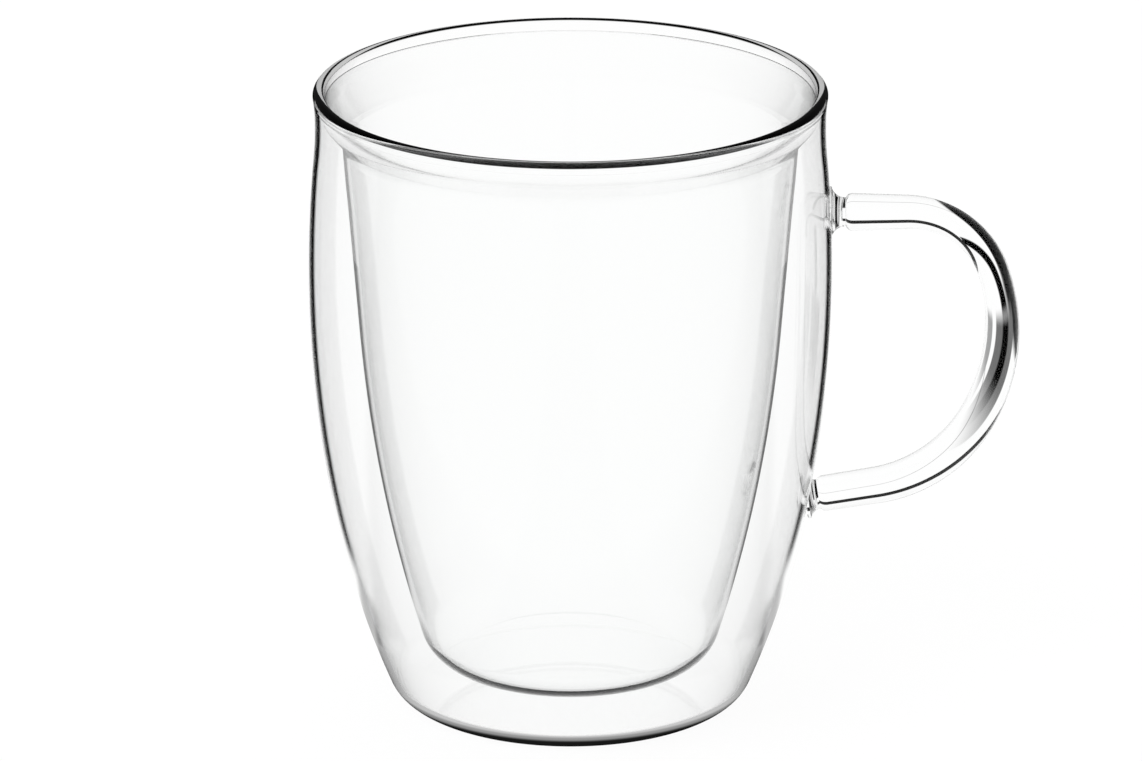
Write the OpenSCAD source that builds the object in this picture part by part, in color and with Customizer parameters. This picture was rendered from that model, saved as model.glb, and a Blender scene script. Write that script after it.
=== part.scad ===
// Double walled glass mug with a solid glass handle.
// The origin is the middle of the base's underside, +Z is up and the handle points along +X.
// Each wall is one half profile of arcs that run into each other, revolved about the cup's axis.

/* [Cup] */
// Height from the table to the top of the lip
cup_h = 110; // [100:0.5:120]
// Diameter at the widest place
belly_d = 90.2; // [86:0.2:96]
// Height of the widest place, as a share of the cup's height
belly_share = 0.6964; // [0.64:0.005:0.74]

/* [Outer shell] */
// Thickness of the outer wall
shell_wall = 1.05; // [0.9:0.05:1.3]
// Thickness of the base
base_t = 1.6; // [1.2:0.1:2.2]
// Radius of the long curve of the barrel
barrel_r = 224; // [200:1:260]
// Height where the lower, tighter curve takes over, as a share of the cup's height
lower_share = 0.3273; // [0.28:0.005:0.38]
// Radius of the lower curve
lower_r = 161; // [140:1:190]
// Radius of the heel, outside
heel_r = 5.6; // [4.5:0.1:7]
// Radius of the heel, inside
heel_in_r = 4.6; // [3.6:0.1:5.6]
// How far below the top the hollow neck starts
neck_drop = 12; // [10:0.5:14]
// Radius of the hollow neck
neck_r = 60; // [50:1:80]

/* [Inner bowl] */
// Thickness of the inner wall
bowl_wall = 0.95; // [0.8:0.05:1.2]
// Height of the inner bowl's underside above the table
bowl_z = 6.5; // [5:0.1:9]
// Gap from the cup's widest place in to the corner of the bowl's shoulder
shoulder_gap = 6.05; // [5.2:0.05:8]
// How far below the top the corner of the shoulder lies
shoulder_drop = 8.5; // [8:0.1:9.4]
// How far the bowl's upper wall leans outwards
lean = 4.44; // [3.6:0.02:5.2]
// Height where the straight wall turns into the lower curve, as a share of the cup's height
turn_share = 0.609; // [0.54:0.005:0.68]
// Radius of the bowl's lower curve, outside
bowl_r = 263; // [230:1:300]
// Radius of the bowl's heel, outside
bowl_heel_r = 7.6; // [6:0.1:9]
// Radius of the bend at the shoulder, on the jacket's side
shoulder_r = 4; // [3:0.1:5]
// How far below the lip's foot the flare above the shoulder ends
flare_drop = 1.8; // [1.7:0.1:2.2]
// Radius of the bend between the flare and the lip, on the jacket's side
lip_bend_r = 4.6; // [2:0.1:5]
// Gap beside the shell where that bend ends, which narrows to nothing at the lip's foot
lip_gap = 0.25; // [0.2:0.05:0.35]

/* [Lip] */
// Height of the lip, where both walls are melted into one
lip_h = 2.2; // [2:0.1:2.6]
// Thickness of the lip
lip_t = 2.1; // [1.9:0.05:2.4]

/* [Handle] */
// How far below the top the handle's upper run lies
handle_drop = 22.3; // [20:0.1:26]
// Length of the upper run, from the wall to the first bend
upper_run = 13; // [11:0.2:16]
// Radius of the upper bend
bend_1_r = 15.9; // [14:0.1:18]
// Turn of the upper bend
bend_1_turn = 72.4; // [66:0.2:76]
// Radius of the long bend at the side
bend_2_r = 33.5; // [31:0.1:36]
// Turn of the long bend
bend_2_turn = 48.2; // [44:0.2:52]
// Radius of the lower bend
bend_3_r = 24.3; // [22:0.1:26]
// Turn of the lower bend
bend_3_turn = 49.9; // [46:0.2:54]
// Diameter of the rod at the upper weld
rod_top_d = 6.5; // [5.8:0.1:6.8]
// Diameter where the rod was drawn thin in the upper bend
rod_thin_d = 5; // [4.6:0.1:5.8]
// Diameter at the side of the handle
rod_side_d = 6.2; // [5.6:0.1:6.6]
// Diameter where the rod gathered in the lower bend
rod_thick_d = 6.8; // [6:0.1:7.2]
// Diameter of the rod at the lower weld
rod_low_d = 6.3; // [5.6:0.1:6.8]

/* [Welds] */
// Length of the upper weld's foot, from the wall to its waist
upper_weld_l = 2.4; // [1.8:0.1:3.2]
// Diameter of the upper weld where it meets the wall
upper_weld_d = 8.8; // [7.6:0.1:10]
// Diameter of the upper weld's waist
upper_waist_d = 5; // [4.2:0.1:5.6]
// Length of the lower weld's foot, from the wall to its waist
lower_weld_l = 1.8; // [1.4:0.1:2.6]
// Diameter of the lower weld where it meets the wall
lower_weld_d = 8; // [7:0.1:9]
// Diameter of the lower weld's waist
lower_waist_d = 5.2; // [4.4:0.1:5.6]
// Length over which a weld's waist swells out to the rod
swell_l = 1.2; // [0.8:0.1:1.8]

/* [Hidden] */
// How far a drawn arc may stray from a true one, and sides of a revolved form
arc_sag = 0.03;
round_sides = 180;
// Sides of the rod, and the longest step along its bends in degrees
rod_sides = 20;
rod_step = 6;
// Stations along each straight run
run_steps = 5;
// Where along the rod its diameters are reached, as shares of its length
rod_shares = [[0, rod_top_d], [0.28, rod_thin_d], [0.5, rod_side_d], [0.71, rod_thick_d], [1, rod_low_d]];
// How far inside the wall a weld's foot starts before it is cut to seat on it, and the weld's sides
weld_root = 2;
weld_sides = 60;

// A point at a distance and angle from a centre
function polar(c, r, a) = c + r * [cos(a), sin(a)];
// Points of an arc after its first, with steps short enough for the sag
function arc(c, r, a0, a1) = let (n = ceil(abs(a1 - a0) / (2 * acos(1 - arc_sag / r))))
    [for (i = [1 : n]) polar(c, r, a0 + (a1 - a0) * i / n)];
// A list of points the other way round
function back(points) = [for (i = [len(points) - 1 : -1 : 0]) points[i]];
// Distance from the axis to a bulging arc, and to a hollow arc, at a height
function bulge_x(c, r, z) = c[0] + sqrt(r * r - pow(z - c[1], 2));
function hollow_x(c, r, z) = c[0] - sqrt(r * r - pow(z - c[1], 2));

// Heights that follow the cup's height
belly_z = belly_share * cup_h;
lower_z = lower_share * cup_h;
neck_z = cup_h - neck_drop;
shoulder_z = cup_h - shoulder_drop;
handle_z = cup_h - handle_drop;

// Arcs of the outer shell: every wall surface is the same set of arcs, moved in by its depth
barrel_c = [belly_d / 2 - barrel_r, belly_z];
join_a = asin((lower_z - belly_z) / barrel_r);
lower_c = polar(barrel_c, barrel_r - lower_r, join_a);
neck_a = asin((neck_z - belly_z) / barrel_r);
neck_c = polar(barrel_c, barrel_r + neck_r, neck_a);

// Middle of a heel of radius h that runs into an arc and rests on a floor, and the angle of the run-in
function heel_c(c, r, h, floor_z) = [c[0] + sqrt(pow(r - h, 2) - pow(floor_z + h - c[1], 2)), floor_z + h];
function heel_a(c, h_c) = atan2(h_c[1] - c[1], h_c[0] - c[0]);

// Straight upper wall and lower curve of the inner bowl
lean_n = [cos(lean), -sin(lean)];
shoulder_p = [belly_d / 2 - shoulder_gap, shoulder_z];
turn_z = turn_share * cup_h;
turn_p = [shoulder_p[0] - (shoulder_z - turn_z) * tan(lean), turn_z];
bowl_c = turn_p - bowl_r * lean_n;

// The lip stands on both walls, which part at its foot
lip_z = cup_h - lip_h;
split_x = hollow_x(neck_c, neck_r + shell_wall, lip_z);
lip_round = lip_t / 2;
lip_in_x = hollow_x(neck_c, neck_r, cup_h - lip_round) - lip_t;
// Angle of the flare from the shoulder to the lip
bowl_top_x = split_x - lip_gap;
flare_a = atan2(bowl_top_x - shoulder_p[0], lip_z - flare_drop - shoulder_z);

// Angle on the hollow neck's circle at a height
function neck_at(r, z) = 180 + asin((neck_c[1] - z) / r);

// Line of the outer shell at a depth below its outside, from the axis up to a height
function shell_line(depth, floor_z, h, top_z) =
    let (r = lower_r - depth, h_c = heel_c(lower_c, r, h, floor_z), h_a = heel_a(lower_c, h_c))
    concat(
        [[0, floor_z], [h_c[0], floor_z]],
        arc(h_c, h, -90, h_a),
        arc(lower_c, r, h_a, join_a),
        arc(barrel_c, barrel_r - depth, join_a, 0),
        arc(barrel_c, barrel_r - depth, 0, neck_a),
        arc(neck_c, neck_r + depth, 180 + neck_a, neck_at(neck_r + depth, top_z))
    );

module outer_shell() {
    outside = shell_line(0, 0, heel_r, lip_z);
    inside = shell_line(shell_wall, base_t, heel_in_r, lip_z);
    color("gainsboro", 0.4)
    rotate_extrude($fn = round_sides)
    polygon(concat(outside, back(inside)));
}

// Line of the inner bowl at a depth below its outside, from the axis up to the lip's foot
function bowl_line(depth, top_x, end_x) =
    let (
        r = bowl_r - depth,
        h = bowl_heel_r - depth,
        h_c = heel_c(bowl_c, r, h, bowl_z + depth),
        h_a = heel_a(bowl_c, h_c),
        // The shoulder's corner, moved in by the depth, and the middle of its bend
        half = (flare_a - lean) / 2,
        corner_n = [cos((flare_a + lean) / 2), -sin((flare_a + lean) / 2)] / cos(half),
        corner = shoulder_p - depth * corner_n,
        bend_r = shoulder_r + depth,
        bend_c = corner + bend_r * corner_n,
        // The bend from the flare to the top, which ends at the lip's foot
        top_r = lip_bend_r - depth,
        top_corner_z = corner[1] + (top_x - corner[0]) / tan(flare_a),
        top_c = [top_x - top_r, top_corner_z + top_r * tan(flare_a / 2)]
    )
    concat(
        [[0, bowl_z + depth], [h_c[0], bowl_z + depth]],
        arc(h_c, h, -90, h_a),
        arc(bowl_c, r, h_a, -lean),
        [bend_c - bend_r * lean_n],
        arc(bend_c, bend_r, 180 - lean, 180 - flare_a),
        [polar(top_c, top_r, -flare_a)],
        arc(top_c, top_r, -flare_a, 0),
        [[end_x, lip_z]]
    );

module inner_bowl() {
    outside = bowl_line(0, bowl_top_x, split_x);
    inside = bowl_line(bowl_wall, lip_in_x, lip_in_x);
    color("whitesmoke", 0.4)
    rotate_extrude($fn = round_sides)
    polygon(concat(outside, back(inside)));
}

// Lip: the neck's curve outside, upright inside, and a full round on top
module fused_lip() {
    crown_c = [lip_in_x + lip_round, cup_h - lip_round];
    neck_line = arc(neck_c, neck_r, neck_at(neck_r, crown_c[1]), neck_at(neck_r, lip_z));
    color("lightgrey", 0.5)
    rotate_extrude($fn = round_sides)
    polygon(concat(
        [[lip_in_x, lip_z], [lip_in_x, crown_c[1]]],
        arc(crown_c, lip_round, 180, 90),
        arc(crown_c, lip_round, 90, 0),
        neck_line
    ));
}

// Path of the rod in the XZ plane, worked out from the wall at the upper weld
wall_top_p = [bulge_x(barrel_c, barrel_r, handle_z), handle_z];
bend_1_c = wall_top_p + [upper_run, -bend_1_r];
bend_2_c = polar(bend_1_c, bend_1_r - bend_2_r, 90 - bend_1_turn);
bend_2_a = 90 - bend_1_turn - bend_2_turn;
bend_3_c = polar(bend_2_c, bend_2_r - bend_3_r, bend_2_a);
bend_3_a = bend_2_a - bend_3_turn;
bend_3_end = polar(bend_3_c, bend_3_r, bend_3_a);
// The lower run goes back to the wall with this heading: a line that meets the barrel's arc
low_a = bend_3_a - 90;
low_dir = [cos(low_a), sin(low_a)];
low_b = (bend_3_end - barrel_c) * low_dir;
low_q = (bend_3_end - barrel_c) * (bend_3_end - barrel_c) - barrel_r * barrel_r;
lower_run = -low_b - sqrt(low_b * low_b - low_q);
wall_low_p = bend_3_end + lower_run * low_dir;

// Lengths of rod between the welds
top_run_l = upper_run - upper_weld_l - swell_l;
low_run_l = lower_run - lower_weld_l - swell_l;
bend_1_l = PI * bend_1_r * bend_1_turn / 180;
bend_2_l = PI * bend_2_r * bend_2_turn / 180;
bend_3_l = PI * bend_3_r * bend_3_turn / 180;
rod_start = wall_top_p + [upper_run - top_run_l, 0];
from_bend_1 = top_run_l;
from_bend_2 = from_bend_1 + bend_1_l;
from_bend_3 = from_bend_2 + bend_2_l;
from_low_run = from_bend_3 + bend_3_l;
rod_l = from_low_run + low_run_l;

// Stations of the path: point, heading, distance along the rod
function run(p, dir_a, l, from) = [
    for (i = [1 : run_steps]) let (t = l * i / run_steps)
        [p + t * [cos(dir_a), sin(dir_a)], dir_a, from + t]
];
function bend(c, r, a0, turn, from) = let (n = ceil(turn / rod_step)) [
    for (i = [1 : n]) let (a = a0 - turn * i / n)
        [polar(c, r, a), a - 90, from + PI * r * turn * i / n / 180]
];
rod_path = concat(
    [[rod_start, 0, 0]],
    run(rod_start, 0, top_run_l, 0),
    bend(bend_1_c, bend_1_r, 90, bend_1_turn, from_bend_1),
    bend(bend_2_c, bend_2_r, 90 - bend_1_turn, bend_2_turn, from_bend_2),
    bend(bend_3_c, bend_3_r, bend_2_a, bend_3_turn, from_bend_3),
    run(bend_3_end, low_a, low_run_l, from_low_run)
);

// Ring of points around a station, square to the rod
function ring(st) = let (r = lookup(st[2] / rod_l, rod_shares) / 2) [
    for (k = [0 : rod_sides - 1]) let (a = 360 * k / rod_sides, u = r * cos(a), v = r * sin(a))
        [st[0][0] - sin(st[1]) * u, v, st[0][1] + cos(st[1]) * u]
];

module handle_rod() {
    n = len(rod_path);
    points = [for (st = rod_path) each ring(st)];
    first_cap = [for (k = [0 : rod_sides - 1]) k];
    last_cap = [for (k = [rod_sides - 1 : -1 : 0]) (n - 1) * rod_sides + k];
    walls = [for (i = [0 : n - 2], k = [0 : rod_sides - 1]) let (j = (k + 1) % rod_sides)
        [i * rod_sides + j, i * rod_sides + k, (i + 1) * rod_sides + k, (i + 1) * rod_sides + j]];
    color("gainsboro", 0.5)
    polyhedron(points, concat([first_cap], walls, [last_cap]), convexity = 6);
}

// Melted end of the rod: a foot that spreads onto the wall, a waist, and a swelling out to the rod
module weld(foot_l, wall_d, waist_d, end_d) {
    // A curve that starts along the rod's axis and has moved sideways by rise after length l
    function curve_r(l, rise) = (l * l + rise * rise) / (2 * rise);
    foot_r = curve_r(foot_l, (wall_d - waist_d) / 2);
    swell_r = curve_r(swell_l, (end_d - waist_d) / 2);
    rotate_extrude($fn = weld_sides)
    polygon(concat(
        [[0, -foot_l - weld_root], [wall_d / 2, -foot_l - weld_root], [wall_d / 2, -foot_l]],
        arc([waist_d / 2 + foot_r, 0], foot_r, 180 + asin(foot_l / foot_r), 180),
        arc([end_d / 2 - swell_r, swell_l], swell_r, -asin(swell_l / swell_r), 0),
        [[0, swell_l]]
    ));
}

// Everything inside the outer shell's outside, for seating the welds on it
module shell_body() {
    rotate_extrude($fn = round_sides)
    polygon(concat(shell_line(0, 0, heel_r, lip_z), [[0, lip_z]]));
}

module upper_weld() {
    color("silver", 0.6)
    difference() {
        translate([wall_top_p[0] + upper_weld_l, 0, wall_top_p[1]])
        rotate([0, 90, 0])
        weld(upper_weld_l, upper_weld_d, upper_waist_d, rod_top_d);
        shell_body();
    }
}

module lower_weld() {
    waist = wall_low_p - lower_weld_l * low_dir;
    color("silver", 0.6)
    difference() {
        translate([waist[0], 0, waist[1]])
        rotate([0, -90 - low_a, 0])
        weld(lower_weld_l, lower_weld_d, lower_waist_d, rod_low_d);
        shell_body();
    }
}

inner_bowl();
outer_shell();
fused_lip();
handle_rod();
upper_weld();
lower_weld();
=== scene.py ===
from math import asin, atan2, ceil, cos, pi, radians, sin, sqrt, tan
import bpy
import bmesh
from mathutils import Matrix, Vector


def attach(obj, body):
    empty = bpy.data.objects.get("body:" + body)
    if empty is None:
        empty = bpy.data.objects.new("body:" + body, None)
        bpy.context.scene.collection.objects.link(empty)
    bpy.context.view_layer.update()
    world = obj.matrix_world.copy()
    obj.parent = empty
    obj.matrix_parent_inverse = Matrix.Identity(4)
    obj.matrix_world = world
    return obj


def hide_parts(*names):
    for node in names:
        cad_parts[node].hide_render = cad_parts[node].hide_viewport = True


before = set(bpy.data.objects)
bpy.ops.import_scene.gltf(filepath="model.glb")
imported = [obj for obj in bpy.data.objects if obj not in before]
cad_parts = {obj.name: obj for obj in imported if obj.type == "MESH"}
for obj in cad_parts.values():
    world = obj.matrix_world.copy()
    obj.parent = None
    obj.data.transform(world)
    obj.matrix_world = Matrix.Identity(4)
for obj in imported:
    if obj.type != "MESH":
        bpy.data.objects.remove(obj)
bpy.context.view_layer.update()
mm = 0.001


# Outlines: points are (distance from the axis, height), in millimetres

def polar(centre, r, angle):
    return (centre[0] + r * cos(angle), centre[1] + r * sin(angle))


def arc(centre, r, start, end, step):
    n = max(4, ceil(abs(end - start) * r / step))
    return [polar(centre, r, start + (end - start) * i / n) for i in range(n + 1)]


def straight(a, b, step):
    n = max(1, ceil(sqrt((b[0] - a[0]) ** 2 + (b[1] - a[1]) ** 2) / step))
    return [(a[0] + (b[0] - a[0]) * i / n, a[1] + (b[1] - a[1]) * i / n) for i in range(n + 1)]


def joined(*runs):                     # runs in a row, without the points that two of them share
    points = []
    for run in runs:
        for p in run:
            if not points or abs(p[0] - points[-1][0]) + abs(p[1] - points[-1][1]) > 0.004:
                points.append(p)
    return points


# Modelling steps, each an operator on what is selected

def deselectAll():
    if bpy.context.object and bpy.context.object.mode != "OBJECT":
        bpy.ops.object.mode_set(mode="OBJECT")
    bpy.ops.object.select_all(action="DESELECT")


def activate(ob):
    deselectAll()
    ob.select_set(True)
    bpy.context.view_layer.objects.active = ob


def extrudeLine(name, points):
    deselectAll()
    bpy.ops.mesh.primitive_plane_add(size=mm)
    ob = bpy.context.object
    ob.name = ob.data.name = name
    bpy.ops.object.mode_set(mode="EDIT")
    bpy.ops.mesh.merge(type="CENTER")
    bpy.ops.transform.translate(value=(points[0][0] * mm, 0, points[0][1] * mm))
    for (x0, z0), (x1, z1) in zip(points, points[1:]):
        bpy.ops.mesh.extrude_region_move(
            TRANSFORM_OT_translate={"value": ((x1 - x0) * mm, 0, (z1 - z0) * mm)})
    return ob


def spinRound(steps):                  # the outline turned into a closed body round the Z axis
    bpy.ops.mesh.select_all(action="SELECT")
    bpy.ops.mesh.spin(steps=steps, angle=2 * pi, center=(0, 0, 0), axis=(0, 0, 1))
    bpy.ops.mesh.select_all(action="SELECT")
    bpy.ops.mesh.remove_doubles(threshold=0.002 * mm)
    bpy.ops.mesh.normals_make_consistent(inside=False)
    bpy.ops.object.mode_set(mode="OBJECT")


def paintFaces(ob, slotNumber, test):  # gives the faces that pass a test on centre and normal a material slot
    for face in ob.data.polygons:
        if test(face.center / mm, face.normal):
            face.material_index = slotNumber


def cutAway(ob, tool):
    activate(ob)
    cut = ob.modifiers.new("cut", "BOOLEAN")
    cut.operation, cut.solver, cut.object = "DIFFERENCE", "EXACT", tool
    bpy.ops.object.modifier_apply(modifier=cut.name)


def finishPiece(ob, node, smoothAngle=40):
    activate(ob)
    bpy.ops.object.shade_smooth_by_angle(angle=radians(smoothAngle))
    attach(ob, "root")
    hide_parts(node)


# Materials: sums on sockets are written as Python expressions

class Value:
    def __init__(self, tree, socket):
        self.tree, self.socket = tree, socket

    def sum(self, operation, a, b):
        return self.tree.node("ShaderNodeMath", {"operation": operation}, {0: a, 1: b})

    def __add__(self, other): return self.sum("ADD", self, other)
    def __radd__(self, other): return self.sum("ADD", other, self)
    def __sub__(self, other): return self.sum("SUBTRACT", self, other)
    def __rsub__(self, other): return self.sum("SUBTRACT", other, self)
    def __mul__(self, other): return self.sum("MULTIPLY", self, other)
    def __rmul__(self, other): return self.sum("MULTIPLY", other, self)
    def __gt__(self, other): return self.sum("GREATER_THAN", self, other)
    def __lt__(self, other): return self.sum("LESS_THAN", self, other)


class Tree:
    def __init__(self, owner):
        owner.use_nodes = True
        self.nodes, self.links = owner.node_tree.nodes, owner.node_tree.links
        self.nodes.clear()

    def node(self, kind, settings=None, inputs=None, output=0):
        made = self.nodes.new(kind)
        for key, value in (settings or {}).items():
            setattr(made, key, value)
        for key, value in (inputs or {}).items():
            if isinstance(value, Value):
                self.links.new(value.socket, made.inputs[key])
            else:
                made.inputs[key].default_value = value
        return Value(self, made.outputs[output]) if made.outputs else made

    def outputs(self, kind, *names):
        made = self.nodes.new(kind)
        return [Value(self, made.outputs[name]) for name in names]


# The photograph's camera

cameraSizes = {"distance": 1.2, "elevation": 19.022, "aimX": 0.0001, "aimZ": 0.05707, "lens": 218.5}


def makeCamera():
    v = cameraSizes
    e = radians(v["elevation"])
    data = bpy.data.cameras.new("photoCamera")
    data.lens, data.sensor_width = v["lens"], 36
    data.clip_start, data.clip_end = 0.01, 100
    cam = bpy.data.objects.new("photoCamera", data)
    cam.location = (v["aimX"], -v["distance"] * cos(e), v["aimZ"] + v["distance"] * sin(e))
    cam.rotation_euler = (pi / 2 - e, 0, 0)
    bpy.context.scene.collection.objects.link(cam)
    bpy.context.scene.camera = cam


# Floor, world, card and lamps. Floor, world and card show painted shade and painted light to rays through the
# glass only, which make the dark edges and streaks in the glass. Rays through the glass are told apart by how
# often they turned inside it and how many of its faces they passed: 2 the rod or the rim alone, 4 one side of
# the cup, 6 the rim and a side.
# A pair of places is where a soft edge starts and ends: X to either side, Y from the front to the back

studioValues = {
    "floorSize": 8, "drop": 0.00005, "floorColour": (0.95, 0.95, 0.95, 1), "shadowShare": 0.04,
    "bounceLight": 0.6,
    # painted shade seen straight through the glass
    "rodX": (0.045, 0.048), "rodY": (0.155, 0.185), "rodLeft": -0.12, "rodFront": -0.1,
    "rimX": (0.08, 0.10), "rimY": (0.235, 0.265),
    "lineX": 0.047, "lineY": (0.105, 0.109), "lineDark": 0.5,
    # painted shade and painted light seen by a turn inside the rod, the rim or one side
    "turnedRim": 0.005, "wedgeSpread": 0.18, "wedgeX": (0.046, 0.058), "wedgeY": (0.03, 0.04),
    "lowX": (0.062, 0.072), "lowFront": (0.01, 0.018), "lowBack": (0.032, 0.052), "lowLight": 0.5,
    "farSpread": 0.47, "farX": (0.046, 0.056), "farY": (0, 0.02), "frontY": (-0.07, -0.09),
    "nearX": (0.06, 0.08), "nearBack": (0, 0.02), "nearFront": (-0.09, -0.07), "nearLight": 0.2,
    "cornerX": (0.03, 0.045), "cornerY": (-0.03, -0.015), "cornerLight": 0.6,
    # painted shade and painted light seen by a turn after more faces
    "heelX": (0.03, 0.04), "heelY": (0.02, 0.04),
    "bowlSpread": 0.49, "bowlX": (0.018, 0.03), "bowlY": (0.03, 0.05), "bowlDark": 0.1, "bowlLight": 0.8,
    # painted reflection mirrored by the glass's outside, and painted shade in the world
    "mirrorY": (0.02, -0.02), "mirrorFront": 0.95, "mirrorBack": 0.05, "mirrorAhead": (-0.2, 0.2),
    "band": (0.01, 0.17), "bandLight": 0.02, "above": (0.05, 0.2)}
cardValues = {"place": (0.0835, 0.020, 0.048), "size": (0.059, 0.070), "foot": (0.036, 0.052),
              "head": (0.060, 0.064), "middle": 0.0735, "blackHalf": 0.0015, "greyHalf": 0.006,
              "sideX": 0.089, "sideHalf": 0.005, "soft": 0.0008, "greyLight": 0.16, "sideLight": 0.35}
lampValues = {"keySoftbox": ((-0.9, -0.7, 1.3), 1.2, 22), "topSoftbox": ((0.3, 0.5, 1.6), 1.4, 14)}


def axis(tree, vector, name):
    return tree.node("ShaderNodeSeparateXYZ", inputs={0: vector}, output=name)


def absolute(tree, value):             # without its sign
    return tree.node("ShaderNodeMath", {"operation": "ABSOLUTE"}, {0: value})


def step(tree, value, low, high):
    return tree.node("ShaderNodeMapRange", {"interpolation_type": "SMOOTHSTEP"},
                     {"Value": value, "From Min": low, "From Max": high})


def between(value, low, high):
    return (value > low) * (value < high)


def rays(tree):
    camera, glossy, through, turns, passes = tree.outputs(
        "ShaderNodeLightPath", "Is Camera Ray", "Is Glossy Ray", "Is Transmission Ray",
        "Glossy Depth", "Transmission Depth")
    seen = tree.node("ShaderNodeMath", {"operation": "MAXIMUM", "use_clamp": True},
                     {0: camera + glossy, 1: through})
    return camera, seen, turns > 0.5, passes


def glowing(tree, light, kind="ShaderNodeEmission"):      # from black at 0 to white at 1
    dark = tree.node(kind, inputs={"Color": (0, 0, 0, 1)})
    bright = tree.node(kind, inputs={"Color": (1, 1, 1, 1), "Strength": 1})
    return tree.node("ShaderNodeMixShader", inputs={0: light, 1: dark, 2: bright})


def makeFloor():
    v = studioValues
    deselectAll()
    bpy.ops.mesh.primitive_plane_add(size=v["floorSize"], location=(0, 0, -v["drop"]))
    floor = bpy.context.object
    floor.name = floor.data.name = "studioFloor"
    paint = bpy.data.materials.new("studioFloor")
    tree = Tree(paint)
    camera, seen, turned, passes = rays(tree)
    two, few, six = between(passes, 1.5, 2.5), passes < 2.5, between(passes, 4.5, 6.5)
    place = tree.outputs("ShaderNodeTexCoord", "Object")[0]
    x, y = axis(tree, place, "X"), axis(tree, place, "Y")
    wide = absolute(tree, x)
    # Straight through the glass: painted shade where the rod and the rim bend the view down, and a thin
    # painted line, half dark, to the right of the cup
    rod = two * (1 - step(tree, y, *v["rodY"])) * (1 - step(tree, x, *v["rodX"])) * (
        x > v["rodLeft"]) * (y > v["rodFront"])
    rim = six * (1 - step(tree, y, *v["rimY"])) * (1 - step(tree, wide, *v["rimX"]))
    line = two * between(y, *v["lineY"]) * (x > v["lineX"]) * v["lineDark"]
    straightLight = 1 - rod - rim - line
    # Turned inside the glass: painted shade beside the cup, painted light behind it and far to the side
    wedge = (1 - step(tree, wide - y * v["wedgeSpread"], *v["wedgeX"])) * step(tree, y, *v["wedgeY"])
    low = (1 - step(tree, wide, *v["lowX"])) * step(tree, y, *v["lowFront"]) * (
        1 - step(tree, y, *v["lowBack"])) * v["lowLight"]
    wedge = 1 - (1 - wedge) * (1 - low)
    far = step(tree, wide - y * v["farSpread"], *v["farX"]) * step(tree, y, *v["farY"])
    near = (1 - step(tree, wide, *v["nearX"])) * (1 - step(tree, y, *v["nearBack"])) * step(
        tree, y, *v["nearFront"])
    front = step(tree, y, *v["frontY"])
    corner = step(tree, wide, *v["cornerX"]) * step(tree, y, *v["cornerY"])
    nearLight = v["nearLight"] + v["cornerLight"] * corner
    # painted shade under the cup and in front of it, for rays that passed six faces
    heel = (1 - step(tree, wide, *v["heelX"])) * (1 - step(tree, y, *v["heelY"])) * six
    bowlSide = (1 - step(tree, wide - y * v["bowlSpread"], *v["bowlX"])) * step(tree, y, *v["bowlY"])
    bowl = (v["bowlLight"] - bowlSide * (v["bowlLight"] - v["bowlDark"])) * (1 - heel)
    turnedLight = few * (v["turnedRim"] + wedge + far + front + near * nearLight) + (1 - few) * bowl
    # Mirrored by the glass's outside: a painted reflection, dark close in front of the cup and light
    # elsewhere in front, behind it and far to the side
    mirror = step(tree, y, *v["mirrorY"]) * v["mirrorFront"] * (1 - near) + wedge + far
    outside = passes < 0.5
    light = turned * (outside * mirror + (1 - outside) * turnedLight) + (1 - turned) * straightLight
    matt = tree.node("ShaderNodeBsdfDiffuse", inputs={"Color": v["floorColour"]})
    shown = tree.node("ShaderNodeMixShader", inputs={
        0: seen - camera * v["shadowShare"], 1: matt, 2: glowing(tree, light)})
    tree.node("ShaderNodeOutputMaterial", inputs={"Surface": shown})
    floor.data.materials.append(paint)


# Camera rays see plain white. Rays through the glass see painted shade: a dark band just above the horizon,
# and after a turn inside, dark below and light above. Rays mirrored by the glass's outside see a painted
# reflection, light toward the front and dark toward the back
def makeWorld():
    v = studioValues
    world = bpy.data.worlds.new("studioWorld")
    bpy.context.scene.world = world
    tree = Tree(world)
    camera, seen, turned, passes = rays(tree)
    direction = tree.outputs("ShaderNodeTexCoord", "Generated")[0]
    ahead, up = axis(tree, direction, "Y"), axis(tree, direction, "Z")
    straightLight = camera + (1 - camera) * (1 - between(up, *v["band"]) * (1 - v["bandLight"]))
    above = step(tree, up, *v["above"])
    few = passes < 2.5
    turnedLight = few * (v["turnedRim"] + above) + (1 - few) * (v["bowlLight"] + (1 - v["bowlLight"]) * above)
    mirror = v["mirrorFront"] + (v["mirrorBack"] - v["mirrorFront"]) * step(tree, ahead, *v["mirrorAhead"])
    outside = passes < 0.5
    light = turned * (outside * mirror + (1 - outside) * turnedLight) + (1 - turned) * straightLight
    shown = glowing(tree, seen * light + (1 - seen) * v["bounceLight"], "ShaderNodeBackground")
    tree.node("ShaderNodeOutputWorld", inputs={"Surface": shown})


def strip(tree, value, middle, half, soft):
    return 1 - step(tree, absolute(tree, value - middle), half, half + soft)


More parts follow.
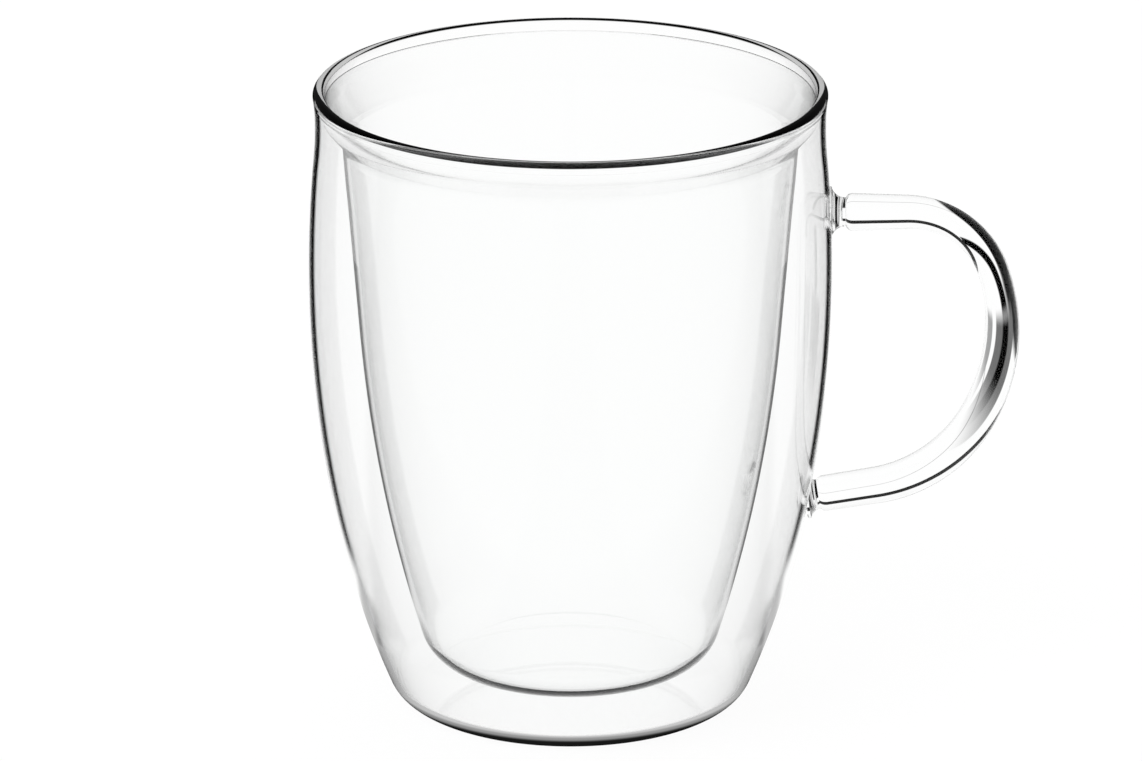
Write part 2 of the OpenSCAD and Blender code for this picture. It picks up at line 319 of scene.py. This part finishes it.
def makeCard():                        # a black strip on grey behind the handle, seen through its glass only: painted shade and grey streaks in the handle
    v = cardValues
    deselectAll()
    bpy.ops.mesh.primitive_plane_add(size=1, location=v["place"], rotation=(pi / 2, 0, 0))
    card = bpy.context.object
    card.name = card.data.name = "studioCard"
    card.scale = (*v["size"], 1)
    bpy.ops.object.transform_apply(location=True, rotation=True, scale=True)
    paint = bpy.data.materials.new("studioCard")
    tree = Tree(paint)
    place = tree.outputs("ShaderNodeTexCoord", "Object")[0]
    x, z = axis(tree, place, "X"), axis(tree, place, "Z")
    black = strip(tree, x, v["middle"], v["blackHalf"], v["soft"])
    grey = strip(tree, x, v["middle"], v["greyHalf"], v["soft"])
    side = strip(tree, x, v["sideX"], v["sideHalf"], v["soft"])
    low = step(tree, z, *v["foot"]) * (1 - step(tree, z, *v["head"]))
    passes = tree.outputs("ShaderNodeLightPath", "Transmission Depth")[0]
    share = between(passes, 1.5, 2.5) * (
        (grey + side) * low + black * (1 - low) * step(tree, z, *v["head"]))
    light = (1 - black) * (grey * v["greyLight"] + side * v["sideLight"])
    clear = tree.node("ShaderNodeBsdfTransparent", inputs={"Color": (1, 1, 1, 1)})
    shown = tree.node("ShaderNodeMixShader", inputs={0: share, 1: clear, 2: glowing(tree, light)})
    tree.node("ShaderNodeOutputMaterial", inputs={"Surface": shown})
    card.data.materials.append(paint)
    card.visible_camera = card.visible_glossy = card.visible_diffuse = card.visible_shadow = False


def makeLamps():
    for name, (place, width, watts) in lampValues.items():
        data = bpy.data.lights.new(name, "AREA")
        data.size, data.energy = width, watts
        lamp = bpy.data.objects.new(name, data)
        lamp.location = place
        lamp.rotation_euler = (-Vector(place)).to_track_quat("-Z", "Y").to_euler()
        lamp.visible_glossy = lamp.visible_transmission = False
        bpy.context.scene.collection.objects.link(lamp)


def makeStudio():
    path = bpy.context.scene.cycles    # light that runs along inside the glass turns many times
    path.max_bounces, path.transparent_max_bounces = 64, 128
    path.transmission_bounces = path.glossy_bounces = 48
    makeCamera()
    makeFloor()
    makeWorld()
    makeCard()
    makeLamps()
    print("studio: camera, floor, world, card and two softboxes")


# Glass. Light that turned again and again runs along inside a wall. A painted glow of the piece's own takes
# its place, by the height and by how the ray came: its share of the surface and its light. It is painted
# light at the neck and near the bowl's top, and painted shade at the shell's heel, the bowl's rim and the
# lip.

glassValues = {"index": 1.47, "tint": (0.999, 1.0, 0.9995, 1), "tintDeep": (0.995, 0.998, 0.9965, 1),
               "waveSize": 22, "waveDepth": 0.00002, "shine": 0.12}
paintedGlowValues = {"neckTurns": 14.5, "neckZ": 0.09, "neckLight": 0.6, "heelZ": 0.012,
              "heel": (0.0001, 0.0008, 0.0009, 0.0018), "heelLight": (0.01, 0.3, 0.3),
              "bowlTurns": 2.5, "bowlZ": 0.08, "rimZ": 0.1, "bowlLight": 0.85, "rimLight": 0.01}


# painted light at the neck; painted shade at the heel, darker towards the bottom
def shellPaintedGlow(tree, z, turns, passes):
    v = paintedGlowValues
    a, b, c, d = v["heel"]
    low, middle, high = v["heelLight"]
    neck = z > v["neckZ"]
    heel = low + middle * step(tree, z, a, b) + high * step(tree, z, c, d)
    first = (turns > 0.5) * (passes < 1.5) * (z < v["heelZ"])
    return (turns > v["neckTurns"]) * neck + first, neck * v["neckLight"] + (1 - neck) * heel


# painted light near the top for rays led along the wall from inside; painted shade at the rim
def bowlPaintedGlow(tree, z, turns, passes):
    v = paintedGlowValues
    led = turns > v["bowlTurns"]
    rim = (turns > 0.5) * (passes < 1.5) * (z > v["rimZ"])
    return led * (z > v["bowlZ"]) + (1 - led) * rim, led * (passes > 1.5) * v["bowlLight"]


# painted shade: the lip shows nearly black to rays that turned inside it
def lipPaintedShade(tree, z, turns, passes):
    return (turns > 0.5) * (passes < 1.5), paintedGlowValues["rimLight"]


def makeGlass(name, glow=None):
    v = glassValues
    glass = bpy.data.materials.new(name)
    tree = Tree(glass)
    place = tree.outputs("ShaderNodeTexCoord", "Object")[0]
    waves = tree.node("ShaderNodeTexNoise", inputs={
        "Vector": place, "Scale": v["waveSize"], "Detail": 2, "Roughness": 0.4})
    colour = tree.node("ShaderNodeMix", {"data_type": "RGBA"},
                       {0: waves, 6: v["tint"], 7: v["tintDeep"]}, output=2)
    bump = tree.node("ShaderNodeBump", inputs={"Height": waves, "Distance": v["waveDepth"], "Strength": 1})
    shown = tree.node("ShaderNodeBsdfPrincipled", inputs={
        "Base Color": colour, "Roughness": 0, "IOR": v["index"], "Transmission Weight": 1, "Normal": bump,
        "Specular Tint": (v["shine"],) * 3 + (1,)})
    if glow:
        turns, passes = tree.outputs("ShaderNodeLightPath", "Glossy Depth", "Transmission Depth")
        share, light = glow(tree, axis(tree, place, "Z"), turns, passes)
        shown = tree.node("ShaderNodeMixShader", inputs={0: share, 1: shown, 2: glowing(tree, light)})
    tree.node("ShaderNodeOutputMaterial", inputs={"Surface": shown})
    return glass


def makeJoint():                       # where two pieces are melted into one, nothing shows
    joint = bpy.data.materials.new("meltedJoint")
    tree = Tree(joint)
    clear = tree.node("ShaderNodeBsdfTransparent", inputs={"Color": (1, 1, 1, 1)})
    tree.node("ShaderNodeOutputMaterial", inputs={"Surface": clear})
    return joint


# Outer shell: heel, lower curve, barrel and hollow neck

shellSizes = {"height": 110, "bellyD": 90.2, "bellyZ": 76.6, "wall": 1.05, "base": 1.6, "barrelR": 224,
              "lowerZ": 36, "lowerR": 161, "heelR": 5.6, "heelInR": 4.6, "neckZ": 98, "neckR": 60,
              "step": 1.5, "fineStep": 0.35, "flatStep": 4, "turns": 384}

s = shellSizes
barrelC = (s["bellyD"] / 2 - s["barrelR"], s["bellyZ"])
joinA = asin((s["lowerZ"] - s["bellyZ"]) / s["barrelR"])
lowerC = polar(barrelC, s["barrelR"] - s["lowerR"], joinA)
neckA = asin((s["neckZ"] - s["bellyZ"]) / s["barrelR"])
neckC = polar(barrelC, s["barrelR"] + s["neckR"], neckA)


def heelCentre(c, r, h, floorZ):
    return (c[0] + sqrt((r - h) ** 2 - (floorZ + h - c[1]) ** 2), floorZ + h)


def hollowX(c, r, z):
    return c[0] - sqrt(r * r - (z - c[1]) ** 2)


def neckAt(r, z):
    return pi + asin((neckC[1] - z) / r)


def shellLine(depth, floorZ, h, topZ):
    v = shellSizes
    r = v["lowerR"] - depth
    heelC = heelCentre(lowerC, r, h, floorZ)
    heelA = atan2(heelC[1] - lowerC[1], heelC[0] - lowerC[0])
    return joined(
        straight((0, floorZ), (heelC[0], floorZ), v["flatStep"]),
        arc(heelC, h, -pi / 2, heelA, v["fineStep"]),
        arc(lowerC, r, heelA, joinA, v["step"]),
        arc(barrelC, v["barrelR"] - depth, joinA, neckA, v["step"]),
        arc(neckC, v["neckR"] + depth, pi + neckA, neckAt(v["neckR"] + depth, topZ), v["step"]))


# Lip and inner bowl

lipSizes = {"height": 2.2, "thickness": 2.1, "gap": 0.25, "step": 0.12, "neckStep": 0.5}
lipZ = s["height"] - lipSizes["height"]
splitX = hollowX(neckC, s["neckR"] + s["wall"], lipZ)
lipR = lipSizes["thickness"] / 2
lipInX = hollowX(neckC, s["neckR"], s["height"] - lipR) - lipSizes["thickness"]

bowlSizes = {"wall": 0.95, "floorZ": 6.5, "shoulderD": 78.1, "shoulderZ": 101.5, "lean": radians(4.44),
             "turnZ": 67, "curveR": 263, "heelR": 7.6, "shoulderR": 4, "flareDrop": 1.8, "lipBendR": 4.6,
             "step": 1.5, "fineStep": 0.35, "bendStep": 0.25, "flatStep": 4}


def bowlLine(depth, topX, endX):
    v = bowlSizes
    lean = v["lean"]
    shoulder = (v["shoulderD"] / 2, v["shoulderZ"])
    turn = (shoulder[0] - (v["shoulderZ"] - v["turnZ"]) * tan(lean), v["turnZ"])
    curveC = (turn[0] - v["curveR"] * cos(lean), turn[1] + v["curveR"] * sin(lean))
    flare = atan2(splitX - lipSizes["gap"] - shoulder[0], lipZ - v["flareDrop"] - v["shoulderZ"])
    r, h = v["curveR"] - depth, v["heelR"] - depth
    heelC = heelCentre(curveC, r, h, v["floorZ"] + depth)
    heelA = atan2(heelC[1] - curveC[1], heelC[0] - curveC[0])
    half, mid = (flare - lean) / 2, (flare + lean) / 2
    out = (cos(mid) / cos(half), -sin(mid) / cos(half))
    corner = (shoulder[0] - depth * out[0], shoulder[1] - depth * out[1])
    bendR = v["shoulderR"] + depth
    bendC = (corner[0] + bendR * out[0], corner[1] + bendR * out[1])
    topR = v["lipBendR"] - depth
    topC = (topX - topR, corner[1] + (topX - corner[0]) / tan(flare) + topR * tan(flare / 2))
    wallEnd = polar(curveC, r, -lean)
    bendStart = polar(bendC, bendR, pi - lean)
    return joined(
        straight((0, v["floorZ"] + depth), (heelC[0], v["floorZ"] + depth), v["flatStep"]),
        arc(heelC, h, -pi / 2, heelA, v["fineStep"]),
        arc(curveC, r, heelA, -lean, v["step"]),
        straight(wallEnd, bendStart, v["step"]),
        arc(bendC, bendR, pi - lean, pi - flare, v["fineStep"]),
        arc(topC, topR, -flare, 0, v["bendStep"]),
        [(endX, lipZ)])


def makeCup(joint):
    v = shellSizes
    outside = shellLine(0, 0, v["heelR"], lipZ)
    inside = shellLine(v["wall"], v["base"], v["heelInR"], lipZ)
    shell = extrudeLine("outerShell", outside + inside[::-1])
    spinRound(v["turns"])
    outside = bowlLine(0, splitX - lipSizes["gap"], splitX)
    inside = bowlLine(bowlSizes["wall"], lipInX, lipInX)
    bowl = extrudeLine("innerBowl", outside + inside[::-1])
    spinRound(v["turns"])
    crown = (lipInX + lipR, v["height"] - lipR)
    line = joined(
        [(lipInX, lipZ), (lipInX, crown[1])],
        arc(crown, lipR, pi, 0, lipSizes["step"]),
        arc(neckC, v["neckR"], neckAt(v["neckR"], crown[1]), neckAt(v["neckR"], lipZ), lipSizes["neckStep"]),
        [(splitX, lipZ), (lipInX, lipZ)])
    lip = extrudeLine("fusedLip", line)
    spinRound(v["turns"])
    for ob, name, glow in (
            (shell, "shellGlass", shellPaintedGlow), (bowl, "bowlGlass", bowlPaintedGlow), (lip, "lipGlass", lipPaintedShade)):
        ob.data.materials.append(makeGlass(name, glow))
        ob.data.materials.append(joint)
        paintFaces(ob, 1, lambda c, n: abs(c.z - lipZ) < 0.01 and abs(n.z) > 0.99)
    for ob, node, slot in ((bowl, "inner_bowl", "bowl_glass"), (lip, "fused_lip", "lip_glass")):
        finishPiece(ob, node)
    print("cup: shell, bowl and lip", [len(o.data.polygons) for o in (shell, bowl, lip)])
    return shell


# Handle: one rod along three bends, thinner in the first, on two welds with a waist

rodSizes = {"drop": 22.3, "upperRun": 13, "bends": ((15.9, 72.4), (33.5, 48.2), (24.3, 49.9)),
            "shares": ((0, 3.25), (0.28, 2.5), (0.5, 3.1), (0.71, 3.4), (1, 3.15)),
            "smoothing": 0.08, "looks": 6, "sides": 96, "step": 0.7}
weldSizes = {"swell": 1.2, "root": 0.55, "sides": 96, "step": 0.12, "footReach": 0.5, "slack": 0.01,
             "upper": {"foot": 2.4, "wallR": 4.4, "waistR": 2.5},
             "lower": {"foot": 1.8, "wallR": 4.0, "waistR": 2.6}}


def rodRadius(share):                  # the table's radius, evened out over a stretch to both sides
    reach, n = min(rodSizes["smoothing"], share, 1 - share), rodSizes["looks"]
    total = 0
    for k in range(-n, n + 1):
        t = min(1, max(0, share + reach * k / n))
        for (s0, r0), (s1, r1) in zip(rodSizes["shares"], rodSizes["shares"][1:]):
            if s0 <= t <= s1:
                total += r0 + (r1 - r0) * (t - s0) / (s1 - s0)
                break
    return total / (2 * n + 1)


def rodRoute():
    # Where the rod's axis meets the wall above and below, and the centres of its bends
    z = s["height"] - rodSizes["drop"]
    upperWall = (barrelC[0] + sqrt(s["barrelR"] ** 2 - (z - barrelC[1]) ** 2), z)
    angle = pi / 2
    centre = (upperWall[0] + rodSizes["upperRun"], z - rodSizes["bends"][0][0])
    bends = []
    for i, (r, turn) in enumerate(rodSizes["bends"]):
        if i:
            centre = polar(centre, rodSizes["bends"][i - 1][0] - r, angle)
        bends.append((centre, r, angle, radians(turn)))
        angle -= radians(turn)
    end = polar(centre, rodSizes["bends"][-1][0], angle)
    down = (cos(angle - pi / 2), sin(angle - pi / 2))
    gap = (end[0] - barrelC[0], end[1] - barrelC[1])
    b = gap[0] * down[0] + gap[1] * down[1]
    lowerRun = -b - sqrt(b * b - gap[0] ** 2 - gap[1] ** 2 + s["barrelR"] ** 2)
    lowerWall = (end[0] + lowerRun * down[0], end[1] + lowerRun * down[1])
    return upperWall, bends, end, down, lowerRun, lowerWall


def makeRod(route, glass, joint):
    upperWall, bends, end, down, lowerRun, lowerWall = route
    v, w = rodSizes, weldSizes
    upperWeld = w["upper"]["foot"] + w["swell"]
    topRun = v["upperRun"] - upperWeld
    lowRun = lowerRun - w["lower"]["foot"] - w["swell"]
    start = (upperWall[0] + upperWeld, upperWall[1])
    deselectAll()
    bpy.ops.mesh.primitive_circle_add(vertices=v["sides"], radius=rodRadius(0) * mm, fill_type="NOTHING",
                                      location=(start[0] * mm, 0, start[1] * mm), rotation=(0, pi / 2, 0))
    rod = bpy.context.object
    rod.name = rod.data.name = "handleRod"
    bpy.ops.object.transform_apply(location=True, rotation=True, scale=True)
    bpy.ops.object.mode_set(mode="EDIT")
    bpy.ops.mesh.select_all(action="SELECT")
    rings = [(0, start)]

    def runOn(origin, way, runLength):
        n, done = ceil(runLength / v["step"]), rings[-1][0]
        for i in range(1, n + 1):
            bpy.ops.mesh.extrude_region_move(TRANSFORM_OT_translate={
                "value": (way[0] * runLength / n * mm, 0, way[1] * runLength / n * mm)})
            t = runLength * i / n
            rings.append((done + t, (origin[0] + way[0] * t, origin[1] + way[1] * t)))

    runOn(start, (1, 0), topRun)
    for centre, r, angle, turn in bends:
        n, done = ceil(r * turn / v["step"]), rings[-1][0]
        bpy.ops.mesh.spin(steps=n, angle=turn, center=(centre[0] * mm, 0, centre[1] * mm), axis=(0, -1, 0))
        for i in range(1, n + 1):
            rings.append((done + r * turn * i / n, polar(centre, r, angle - turn * i / n)))
    runOn(end, down, lowRun)

    # Each ring scaled about its middle, to the rod's thickness there
    length, offMiddle = rings[-1][0], 0
    mesh = bmesh.from_edit_mesh(rod.data)
    for k, (distance, middle) in enumerate(rings):
        bpy.ops.mesh.select_all(action="DESELECT")
        mesh.verts.ensure_lookup_table()
        ring = mesh.verts[k * v["sides"]:(k + 1) * v["sides"]]
        for vertex in ring:
            vertex.select_set(True)
        found = sum((vertex.co for vertex in ring), Vector()) / len(ring)
        offMiddle = max(offMiddle, (found / mm - Vector((middle[0], 0, middle[1]))).length)
        size = rodRadius(distance / length) / rodRadius(0)
        bpy.ops.transform.resize(value=(size, size, size),
                                 center_override=(middle[0] * mm, 0, middle[1] * mm))
    bpy.ops.mesh.select_all(action="DESELECT")
    bpy.ops.mesh.select_non_manifold(extend=False, use_boundary=True)
    bpy.ops.mesh.edge_face_add()
    bpy.ops.mesh.select_all(action="SELECT")
    bpy.ops.mesh.normals_make_consistent(inside=False)
    bpy.ops.object.mode_set(mode="OBJECT")
    rod.data.materials.append(glass)
    rod.data.materials.append(joint)
    for face in rod.data.polygons:
        if len(face.vertices) > 4:
            face.material_index = 1
    print("rod:", round(length, 1), "mm long,", len(rings), "rings,",
          "middle off by up to", round(offMiddle, 4), "mm")
    return rod


def makeWeld(name, sizes, rodR, wallPoint, tilt, glass, joint):
    # Outline with the rod's axis upright: buried root, foot, waist, swelling up to the rod
    w = weldSizes
    foot, wallR, waistR = sizes["foot"], sizes["wallR"], sizes["waistR"]
    footR = (foot ** 2 + (wallR - waistR) ** 2) / (2 * (wallR - waistR))
    swellR = (w["swell"] ** 2 + (rodR - waistR) ** 2) / (2 * (rodR - waistR))
    line = joined(
        [(0, -w["root"]), (wallR, -w["root"]), (wallR, 0)],
        arc((waistR + footR, foot), footR, pi + asin(foot / footR), pi, w["step"]),
        arc((rodR - swellR, foot + w["swell"]), swellR, -asin(w["swell"] / swellR), 0, w["step"]),
        [(0, foot + w["swell"])])
    weld = extrudeLine(name, line)
    spinRound(w["sides"])
    activate(weld)
    weld.rotation_euler = (0, tilt, 0)
    weld.location = (wallPoint[0] * mm, 0, wallPoint[1] * mm)
    bpy.ops.object.transform_apply(location=True, rotation=True, scale=True)
    weld.data.materials.append(glass)
    weld.data.materials.append(joint)
    return weld


def makeHandle(shell, glass, joint):
    route = rodRoute()
    upperWall, bends, end, down, lowerRun, lowerWall = route
    rod = makeRod(route, glass, joint)
    upper = makeWeld("upperWeld", weldSizes["upper"], rodRadius(0), upperWall, pi / 2, glass, joint)
    lower = makeWeld("lowerWeld", weldSizes["lower"], rodRadius(1), lowerWall,
                     atan2(-down[0], -down[1]), glass, joint)
    for weld, wall, way in ((upper, upperWall, (1, 0)), (lower, lowerWall, (-down[0], -down[1]))):
        weldEnd = weldSizes["upper" if weld is upper else "lower"]["foot"] + weldSizes["swell"]
        activate(weld)
        bpy.ops.object.duplicate()
        tool = bpy.context.object
        for face in tool.data.polygons:
            face.material_index = 1
        cutAway(weld, shell)
        cutAway(shell, tool)
        bpy.data.objects.remove(tool)

        def isJoint(c, n):
            along = (c.x - wall[0]) * way[0] + (c.z - wall[1]) * way[1]
            towardsWall = n.x * way[0] + n.z * way[1] < -0.8
            return along > weldEnd - weldSizes["slack"] or (towardsWall and along < weldSizes["footReach"])
        paintFaces(weld, 1, isJoint)
    finishPiece(rod, "handle_rod")
    finishPiece(upper, "upper_weld")
    finishPiece(lower, "lower_weld")
    finishPiece(shell, "outer_shell")
    print("handle: rod and welds", [len(o.data.polygons) for o in (rod, upper, lower, shell)])


bpy.context.scene.view_settings.view_transform = "Standard"
makeStudio()
meltedJoint = makeJoint()
outerShell = makeCup(meltedJoint)
makeHandle(outerShell, makeGlass("rodGlass"), meltedJoint)
